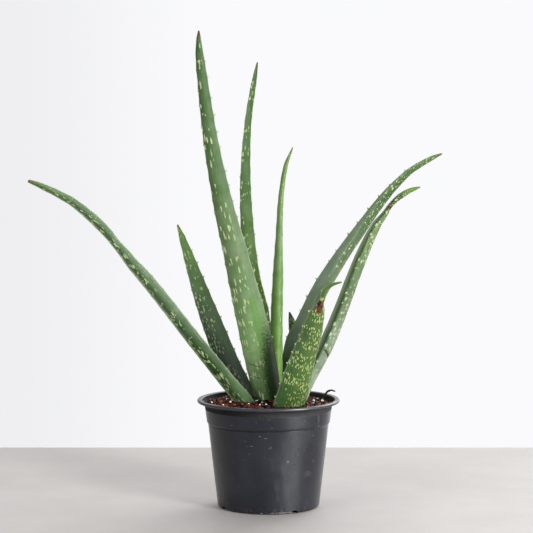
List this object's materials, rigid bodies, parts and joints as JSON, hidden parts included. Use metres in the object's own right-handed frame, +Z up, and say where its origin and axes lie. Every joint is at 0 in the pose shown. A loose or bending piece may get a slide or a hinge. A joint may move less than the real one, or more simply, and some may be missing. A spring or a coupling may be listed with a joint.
{
  "type": "potted aloe vera",
  "caption": "Aloe vera plant with tapering toothed leaves, upright and arching, rooted in bark soil in a round tapered nursery pot with a rolled lip and drain holes.",
  "frame": {"origin": "centre of the pot's flat underside, where it rests", "axes": "+Z up along the pot's axis, -Y towards the plant's front, +X to the right seen from the front"},
  "size_m": [0.4761, 0.2504, 0.5452],
  "materials": {
    "pot_plastic": "dusty satin charcoal plastic",
    "bark_soil": "rough, moist bark chips with white perlite",
    "stem_tissue": "dry and fibrous",
    "dry_root": "dry, dark brown",
    "leaf_green": "waxy satin with pale flecks",
    "leaf_young": "waxy satin, bright green",
    "leaf_spotted": "waxy satin with dense pale flecks"
  },
  "bodies": {
    "root": {"pot": "pot_plastic", "soil": "bark_soil", "stem": "stem_tissue", "dry_root": "dry_root", "leaf_front_tall": "leaf_green", "leaf_left_long": "leaf_green", "leaf_left_short": "leaf_green", "leaf_back_tall": "leaf_green", "leaf_centre_young": "leaf_young", "leaf_front_spotted": "leaf_spotted", "leaf_right_long": "leaf_green", "leaf_right_kinked": "leaf_green", "leaf_back_small": "leaf_spotted"}
  },
  "joints": []
}
